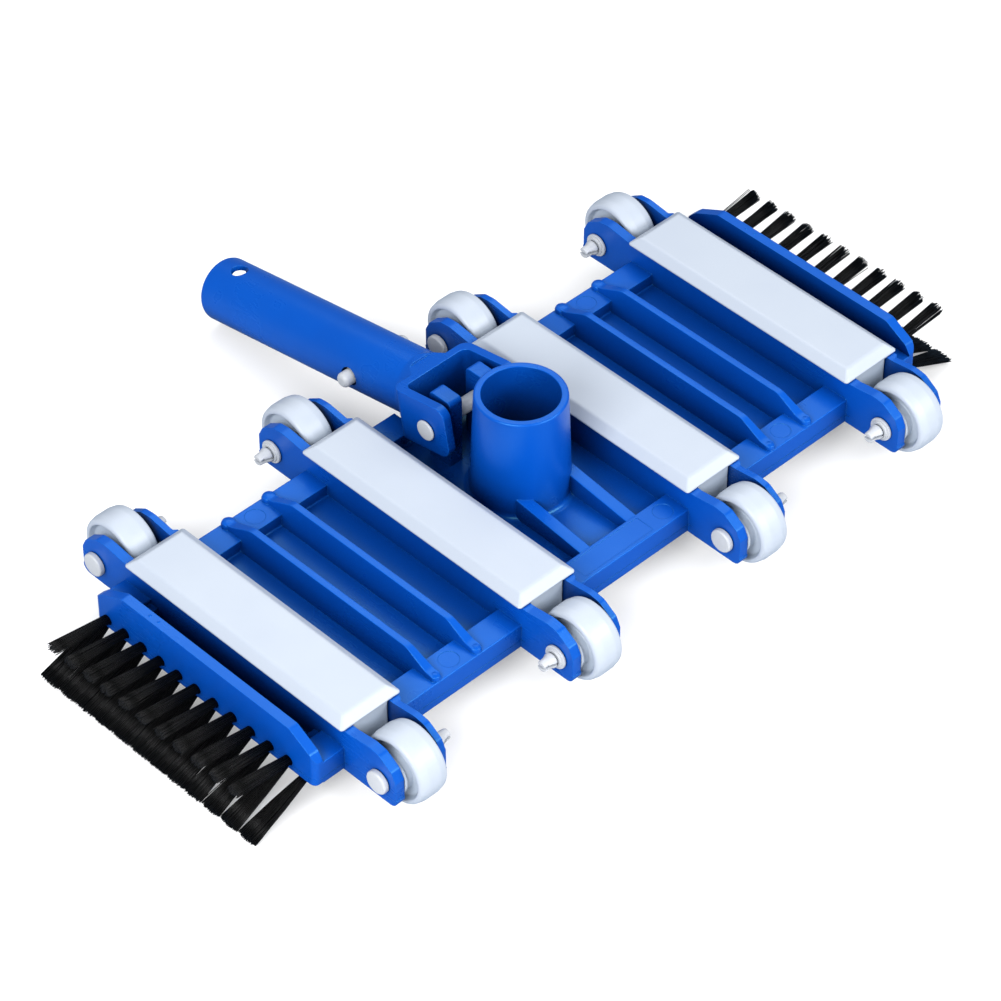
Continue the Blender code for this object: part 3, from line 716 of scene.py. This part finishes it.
# ---- Wheels, pins and washers --------------------------------------------------------
def wheel_profile():
    """Half profile (x, radius) from the hub out to the crown of the tread, then mirrored."""
    corners = [(9.1, BORE_R), (9.1, 9.0), (7.8, 9.0), (7.8, 8.2), (4.5, 8.6), (4.5, 12.2),
               (7.2, 13.4), (7.0, 15.4), (3.0, WHEEL_R - 0.05)]
    radii = [0.25, 0.35, 0.25, 0.15, 0.7, 0.9, 0.7, 1.9, 3.0]
    return rounded(mirrored(corners), radii + radii[::-1], 5)


def pin_head(face, radius, thick):
    """Disc with a rounded rim on the -X side of a face, from the axis out."""
    crown, edge = face - thick, 0.2
    bend = min(0.95, 0.55 * thick)
    rim = []
    for t in (math.radians(degrees) for degrees in range(10, 91, 16)):
        rim.append((crown + edge + bend * (1 - math.cos(t)), radius - bend * (1 - math.sin(t))))
    return [(crown, 0.0), (crown + 0.08, radius * 0.5), *rim, (face - edge, radius),
            (face, radius - edge)]


def snap_pin(radius, head_radius, head_thick, head_face, far_face, washer):
    """Headed pin along +X: dome on the -X side, split and barbed end on the +X side."""
    neck = far_face + 2 * PLAY + washer
    tip = far_face + 9.0
    barb = [(neck, radius), (neck + 0.5, radius + 0.8), (neck + 1.5, radius + 0.8),
            (neck + 3.0, radius + 0.1), (tip - 0.7, radius - 0.1), (tip - 0.15, radius - 0.4),
            (tip, radius - 0.9), (tip, 0.0)]
    pin = revolve([*pin_head(head_face, head_radius, head_thick), (head_face, radius), *barb],
                  segments=48)
    past = 8
    slit = block(neck - PLAY, tip + 1, -past, past, -0.7, 0.7)
    waist = [block(neck + 4.0, tip + 1, side * (radius - 0.45), side * past, -past, past)
             for side in (-1, 1)]
    return soften(carve(pin, slit, *waist), 0.15, 1, 60)


def washer_ring(face, thick, bore, radius):
    """Washer with a raised ring round its bore."""
    shelf = face + 0.62 * thick
    corners = [(face, bore), (face, radius), (shelf, radius), (shelf, radius - 1.1),
               (face + thick, radius - 1.2), (face + thick, bore)]
    return revolve(rounded(corners, [0.25, 0.25, 0.4, 0.2, 0.3, 0.25]), segments=48)


def build_running_gear(white, nylon):
    """Eight wheels on snap pins; the pins' heads alternate from weight to weight."""
    for end, y in zip(ENDS, (-AXLE_Y, AXLE_Y)):
        for number, x in zip(NUMBERS, WEIGHT_X):
            spot = FRAME @ Matrix.Translation((x, y, AXLE_Z))
            turned = spot
            if number % 2 == 0:
                turned = (spot @ Matrix.Translation((CHEEK_OUT - WALL_OUT, 0, 0))
                          @ Matrix.Rotation(math.pi, 4, "Z"))
            emit(f"roller_{end}_{number}", revolve(wheel_profile(), segments=112), white,
                 f"wheel_{end}_{number}", [f"wheel_{end}_{number}"], spot)
            pin = snap_pin(AXLE_R, HEAD_R, HEAD_THICK, -WALL_OUT - PLAY, CHEEK_OUT, WASHER_THICK)
            emit(f"snap_pin_{end}_{number}", pin, nylon, "head_frame",
                 [f"axle_{end}_{number}"], turned)
            ring = washer_ring(CHEEK_OUT + PLAY, WASHER_THICK, BORE_R, WASHER_R)
            emit(f"washer_{end}_{number}", ring, nylon, "head_frame",
                 [f"axle_collar_{end}_{number}"], turned)


# ---- Handle, hinge pin and clip --------------------------------------------------------
def clevis():
    """U-shaped fork: round in plan at its corners, its arms round at their front ends."""
    plan = [(ARM_OUT, ARM_FRONT), (ARM_OUT, WEB_OUT), (-ARM_OUT, WEB_OUT), (-ARM_OUT, ARM_FRONT),
            (-ARM_IN, ARM_FRONT), (-ARM_IN, WEB_IN), (ARM_IN, WEB_IN), (ARM_IN, ARM_FRONT)]
    fork = prism(rounded(plan, [0, 4.5, 4.5, 0, 0, 3.2, 3.2, 0], 6), "Z", ARM_LOW, ARM_HIGH)
    side = [(WEB_OUT + 5, ARM_LOW), (WEB_OUT + 5, ARM_HIGH), (ARM_FRONT, ARM_HIGH),
            (ARM_FRONT, ARM_LOW)]
    cheek = prism(rounded(side, [0, 0, 5.0, 5.0], 6), "X", -ARM_OUT - 5, ARM_OUT + 5)
    return soften(common(fork, cheek), 0.9, 3)


def tube():
    """Pole tube with a flare where it meets the fork."""
    start = WEB_IN + 1.5
    profile = [(start, 0.0), (start, TUBE_R + TUBE_FLARE)]
    for k in range(9):
        t = math.radians(11.25 * k)
        profile.append((WEB_OUT - 1.0 + TUBE_FLARE_LENGTH * math.sin(t),
                        TUBE_R + TUBE_FLARE * (1 - math.sin(t)) ** 1.4))
    for t in (math.radians(degrees) for degrees in range(0, 91, 15)):
        profile.append((TUBE_END - 1.0 + math.sin(t), TUBE_R - 1.0 + math.cos(t)))
    return revolve([*profile, (TUBE_END, 0.0)], "Y", segments=112)


def bore_cutter():
    """The tube's bore, with a rounded mouth."""
    lip, past = 0.8, TUBE_END + 5
    profile = [(TUBE_BORE_START, 0.0), (TUBE_BORE_START, TUBE_BORE_R)]
    for t in (math.radians(degrees) for degrees in range(0, 91, 18)):
        profile.append((TUBE_END - lip * (1 - math.sin(t)), TUBE_BORE_R + lip * (1 - math.cos(t))))
    return revolve([*profile, (past, TUBE_BORE_R + lip), (past, 0.0)], "Y", segments=96)


def countersunk(axis, centre, radius, surface_at):
    """Cross hole with a softened mouth on both sides of the tube."""
    mouth, past = 0.5, surface_at + 6
    half = [(past, radius + mouth), (surface_at - 0.2, radius + mouth * 0.35),
            (surface_at - 1.0, radius)]
    profile = [(past, 0.0), *half, *[(-s, r) for s, r in reversed(half)], (-past, 0.0)]
    return revolve(profile, axis, centre, 48)


def build_handle(surface):
    """Tube and fork in one; the tube's flare is trimmed flat where the fork is flat."""
    past, hair = 30, 0.02
    trims = [block(-past, past, WEB_IN - 2, WEB_OUT + 4.5, ARM_HIGH - hair, past),
             block(-past, past, WEB_OUT + 4, WEB_OUT + 12, TUBE_R + hair, past),
             block(-past, past, WEB_IN - 2, WEB_OUT + 1.5, -past, ARM_LOW + hair)]
    solid = unite(clevis(), soften(carve(tube(), *trims), 0.5, 2, 50))
    solid = carve(solid, bore_cutter(),
                  shaft("X", (0, 0, 0), PIN_BORE_R, -past, past, 40),
                  countersunk("X", (0, BUTTON_AT, 0), BUTTON_HOLE_R, TUBE_R),
                  countersunk("Z", (0, LOCK_HOLE_AT, 0), LOCK_HOLE_R, TUBE_R))
    emit("pole_handle", solid, surface, "handle", ["handle"], HANDLE)


def clip_bend():
    """Closed end of the U-shaped spring, bedded at the bottom of the bore."""
    outer, inner = CLIP_HINGE_X + CLIP_HALF_THICK, CLIP_HINGE_X - CLIP_HALF_THICK
    back, front = TUBE_BORE_START + 0.6, CLIP_HINGE_AT - PLAY
    half = [(inner, back + 2 * CLIP_HALF_THICK), (inner, front), (outer, front), (outer, back)]
    plan = rounded(mirrored(half), [1.6, 0, 0, 3.0, 3.0, 0, 0, 1.6])
    return soften(prism(plan, "Z", -CLIP_HALF_Z, CLIP_HALF_Z), 0.25)


def clip_leaf(side):
    """Spring leaf, drawn from the end of the bend, with its domed snap button."""
    reach, out, dome_r = BUTTON_AT - CLIP_HINGE_AT, BUTTON_OUT - CLIP_HINGE_X, 2.0
    leaf = [(-0.6, 0.1), (0.6, 0.1), (0.9, reach - 5), (0.9, reach + 5), (-0.5, reach + 5),
            (-0.5, reach - 5)]
    leaf = prism([(side * a, b) for a, b in leaf], "Z", -CLIP_HALF_Z, CLIP_HALF_Z)
    profile = [(PLAY, 0.0), (PLAY, BUTTON_R)]
    for t in (math.radians(degrees) for degrees in range(0, 91, 15)):
        profile.append((out - dome_r * (1 - math.sin(t)), BUTTON_R - dome_r * (1 - math.cos(t))))
    profile.append((out, 0.0))
    button = revolve([(side * at, r) for at, r in profile], "X", (0, reach, 0), 48)
    return unite(soften(leaf, 0.2, 2, 50), button)


def build_clip(surface):
    """U-shaped spring: the bend stays with the handle and each leaf moves on its own."""
    emit("clip_bend_strip", clip_bend(), surface, "handle", ["clip_bend"], HANDLE)
    for word, side in SIDES:
        spot = HANDLE @ Matrix.Translation((side * CLIP_HINGE_X, CLIP_HINGE_AT, 0))
        emit(f"snap_button_{word}", clip_leaf(side), surface, f"button_{word}",
             [f"clip_button_{word}"], spot)


def build_hinge_pin(surface):
    """The clevis pin, which stays with the body while the handle turns, and its washer."""
    spot = FRAME @ Matrix.Translation(PIVOT)
    pin = snap_pin(PIN_R, HINGE_HEAD_R, HINGE_HEAD_THICK, -ARM_OUT - PLAY, ARM_OUT, WASHER_THICK)
    emit("clevis_pin", pin, surface, "head_frame", ["hinge_pin"], spot)
    ring = washer_ring(ARM_OUT + PLAY, WASHER_THICK, PIN_BORE_R, HINGE_WASHER_R)
    emit("clevis_washer", ring, surface, "head_frame", ["hinge_pin_collar"], spot)


# ---- Bristles ------------------------------------------------------------------------
FILAMENT_R = 0.22
GOLDEN_ANGLE = 2.39996  # turn from one filament of a spiral to the next, in radians
UPPER_TUFT = {"root_half": (1.95, 1.95), "tip_half": (3.2, 2.4), "bow": 0.0, "count": 75}
LOWER_TUFT = {"root_half": (1.4, 0.85), "tip_half": (5.7, 1.6), "bow": 1.9, "count": 190}
FRONT_LOWER_TUFT = {**LOWER_TUFT, "tip_half": (5.1, 1.6), "bow": 0.2}
MERGED_TUFTS = 8  # the lower tufts behind this one spread into each other
RIGHT_UPPER_EXTRA = Vector((2.0, 0, 0.8))


def filament(verts, faces, start, end, sag, radius, sides=4, stations=5):
    """One closed, slightly bowed filament, added to a mesh's lists."""
    along = (end - start).normalized()
    across = along.cross(Vector((0, 0, 1))).normalized()
    over = across.cross(along)
    first = len(verts)
    for k in range(stations):
        t = k / (stations - 1)
        spot = start.lerp(end, t) + sag * math.sin(math.pi * t) ** 2
        for i in range(sides):
            a = 2 * math.pi * i / sides
            verts.append(spot + (across * math.cos(a) + over * math.sin(a)) * radius)
    for k in range(stations - 1):
        for i in range(sides):
            j = (i + 1) % sides
            low, high = first + k * sides, first + (k + 1) * sides
            faces.append((low + i, low + j, high + j, high + i))
    faces.append(tuple(first + i for i in reversed(range(sides))))
    faces.append(tuple(first + (stations - 1) * sides + i for i in range(sides)))


def tuft(verts, faces, rng, root, tip, root_half, tip_half, bow, count):
    """A bundle packed on a spiral at its root that fans out to an oval brush end."""
    for i in range(count):
        r = math.sqrt((i + 0.5) / count)
        a = GOLDEN_ANGLE * i + rng.uniform(-0.15, 0.15)
        u, v = r * math.cos(a), r * math.sin(a)
        start = root + Vector((0, u * root_half[0], v * root_half[1]))
        stray = 1.0 + (0.3 * rng.random() if rng.random() < 0.05 else 0.0)
        end = tip + Vector((rng.uniform(-1.0, 0.0), u * tip_half[0] * stray + rng.gauss(0, 0.2),
                            v * tip_half[1] * stray + rng.gauss(0, 0.15)))
        end.z = max(end.z, LOWER_TIP_Z + FILAMENT_R)
        sag = Vector((0, u * bow + rng.gauss(0, 0.15), rng.gauss(0, 0.15)))
        filament(verts, faces, start, end, sag, FILAMENT_R)


def strip(verts, faces, low, high):
    """The bar that holds a row's roots."""
    first = len(verts)
    verts += [Vector((x, y, z)) for z in (low[2], high[2]) for y in (low[1], high[1])
              for x in (low[0], high[0])]
    for quad in ((0, 2, 3, 1), (4, 5, 7, 6), (0, 1, 5, 4), (2, 6, 7, 3), (0, 4, 6, 2), (1, 3, 7, 5)):
        faces.append(tuple(first + i for i in quad))


def build_bristles(name, side, node, surface, bar, tufts, seed):
    """A row of (root, tip, form) tufts on its bar, drawn for +X and mirrored for -X."""
    rng = random.Random(seed)
    verts, faces = [], []
    strip(verts, faces, *bar)
    bar_faces = len(faces)
    for root, tip, form in tufts:
        tuft(verts, faces, rng, root, tip, **form)
    mesh = bpy.data.meshes.new(name)
    mesh.from_pydata([FRAME @ Vector((side * v.x, v.y, v.z)) for v in verts], [],
                     [tuple(reversed(f)) if side < 0 else f for f in faces])
    piece = bpy.data.objects.new(name, mesh)
    bpy.context.scene.collection.objects.link(piece)
    mesh.materials.append(surface)
    for polygon in mesh.polygons:
        polygon.use_smooth = polygon.index >= bar_faces
    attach(piece, "head_frame")
    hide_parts(node)


def build_brushes(surface):
    """Both rows at both ends; the right end's upper tufts stand a little further out."""
    upper_root, lower_root = Vector((167.6, 0, UPPER_ROOT_Z)), Vector((166.0, 0, 1.6))
    upper_y, lower_y = tuft_row(UPPER_ROW_Y, UPPER_COUNT), tuft_row(LOWER_ROW_Y, LOWER_COUNT)
    upper_tip = Vector((BRISTLE_X - 0.3, 0, UPPER_TIP_Z))
    lower_tip = Vector((BRISTLE_X - 0.3, 0, LOWER_TIP_Z + 1.6))
    upper_bar = ((166.8, upper_y[-1] - 1.2, UPPER_ROOT_Z - 0.8),
                 (168.4, upper_y[0] + 1.2, UPPER_ROOT_Z + 0.8))
    lower_bar = ((164.0, lower_y[-1] - 2.1, 1.5), (167.0, lower_y[0] + 2.1, 3.0))
    for word, side in SIDES:
        tip = upper_tip + RIGHT_UPPER_EXTRA if side > 0 else upper_tip
        upper = [(upper_root + Vector((0, y, 0)), tip + Vector((0, y, 0)), UPPER_TUFT)
                 for y in upper_y]
        build_bristles(f"bristles_{word}_upper", side, f"brush_{word}_upper", surface, upper_bar,
                       upper, 11 + side)
        lower = [(lower_root + Vector((0, y, 0)), lower_tip + Vector((0, y, 0)),
                  LOWER_TUFT if i < MERGED_TUFTS else FRONT_LOWER_TUFT)
                 for i, y in enumerate(lower_y)]
        build_bristles(f"bristles_{word}_lower", side, f"brush_{word}_lower", surface, lower_bar,
                       lower, 21 + side)


# ---- Stage, lights and camera -----------------------------------------------------------
def floor_surface():
    """Pale backdrop: bluish in reflections, a little brighter to the camera, clear from below."""
    glow_low, glow_reflected, glow_to_camera = 0.12, 0.02, 0.20
    s = Surface("studio_floor")
    clouds = s.remap(s.noise(60, 3.0), 0.3, 0.7, 0, 1)
    tone = s.mix(clouds, (0.67, 0.67, 0.67, 1), (0.68, 0.68, 0.68, 1))
    ray = s.node("ShaderNodeLightPath")
    reflected = ray.outputs["Is Glossy Ray"]
    tone = s.mix(reflected, tone, (0.10, 0.18, 0.30, 1))
    glow = s.remap(reflected, 0, 1, glow_low, glow_reflected)
    glow = s.math("ADD", glow, s.math("MULTIPLY", ray.outputs["Is Camera Ray"], glow_to_camera))
    surface = s.set(Base_Color=tone, Roughness=0.7, Specular_IOR_Level=0.2,
                    Emission_Color=(1, 1, 1, 1), Emission_Strength=glow)
    see_through = s.node("ShaderNodeMixShader")
    s.feed(see_through.inputs[0], s.node("ShaderNodeNewGeometry").outputs["Backfacing"])
    s.feed(see_through.inputs[1], s.shader.outputs[0])
    s.feed(see_through.inputs[2], s.node("ShaderNodeBsdfTransparent").outputs[0])
    s.feed(s.tree.nodes["Material Output"].inputs["Surface"], see_through.outputs[0])
    return surface


def build_stage():
    half_size, gap = 6.0, 0.0002
    bm = bmesh.new()
    bmesh.ops.create_grid(bm, x_segments=8, y_segments=8, size=half_size)
    floor = to_object(bm, "floor")
    floor.location.z = -gap
    floor.data.materials.append(floor_surface())
    bpy.context.scene.collection.objects.link(floor)


def softbox(name, toward, distance, size, power):
    """Rectangular lamp that hangs in a direction from the object and faces it."""
    lamp = bpy.data.lights.new(name, "AREA")
    lamp.shape = "RECTANGLE"
    lamp.size, lamp.size_y = size
    lamp.energy = power
    holder = bpy.data.objects.new(name, lamp)
    direction = Vector(toward).normalized()
    holder.location = ORIGIN + direction * distance
    holder.rotation_mode = "QUATERNION"
    holder.rotation_quaternion = direction.to_track_quat("Z", "Y")
    bpy.context.scene.collection.objects.link(holder)


def build_sky():
    """Even, near-white light all round that reflects as a darker blue."""
    sky, reflected_sky, strength = (0.97, 0.985, 1.0, 1), (0.22, 0.36, 0.55, 1), 0.50
    world = bpy.data.worlds.new("studio")
    world.use_nodes = True
    tree = world.node_tree
    background = tree.nodes["Background"]
    ray = tree.nodes.new("ShaderNodeLightPath")
    tone = tree.nodes.new("ShaderNodeMix")
    tone.data_type = "RGBA"
    tone.inputs[MIX_A].default_value = sky
    tone.inputs[MIX_B].default_value = reflected_sky
    tree.links.new(ray.outputs["Is Glossy Ray"], tone.inputs[MIX_SHARE])
    tree.links.new(tone.outputs[MIX_COLOUR], background.inputs["Color"])
    background.inputs["Strength"].default_value = strength
    bpy.context.scene.world = world


def build_lights():
    build_sky()
    softbox("key_front", (0.35, -1.0, 0.75), distance=1.5, size=(1.2, 0.7), power=22)
    softbox("top", (0.5, 0.5, 1.0), distance=1.4, size=(1.2, 0.8), power=6)
    softbox("left", (-1.0, -0.35, 0.8), distance=1.5, size=(0.9, 0.7), power=25)


def build_camera():
    """Long lens from the front left and above, the angle of the photograph."""
    azimuth, elevation = math.radians(-44.30), math.radians(43.24)
    distance, shift_left, shift_down = 1.7485, 0.00829, 0.00227
    back = Vector((math.sin(azimuth) * math.cos(elevation),
                   -math.cos(azimuth) * math.cos(elevation), math.sin(elevation)))
    right = Vector((math.cos(azimuth), math.sin(azimuth), 0))
    up = back.cross(right)
    data = bpy.data.cameras.new("camera")
    data.sensor_width, data.lens = 36.0, 153.06
    camera = bpy.data.objects.new("camera", data)
    camera.location = ORIGIN + back * distance - right * shift_left - up * shift_down
    camera.rotation_mode = "QUATERNION"
    camera.rotation_quaternion = Matrix((right, up, back)).transposed().to_quaternion()
    bpy.context.scene.collection.objects.link(camera)
    bpy.context.scene.camera = camera


# ---- Assembly --------------------------------------------------------------------------
def finish_cores(surface):
    """The iron bars keep their CAD shape and get their finish."""
    for number in NUMBERS:
        core = frame["nodes"][f"weight_core_{number}"]
        core.data.materials.clear()
        core.data.materials.append(surface)


def main():
    bpy.context.scene.view_settings.view_transform = "Standard"
    blue, white, nylon, black = blue_moulding(), white_moulding(), white_nylon(), bristle_nylon()
    build_body(blue)
    build_covers(white)
    build_running_gear(white, nylon)
    build_handle(blue)
    build_clip(nylon)
    build_hinge_pin(nylon)
    build_brushes(black)
    finish_cores(cast_iron())
    build_stage()
    build_lights()
    build_camera()


main()
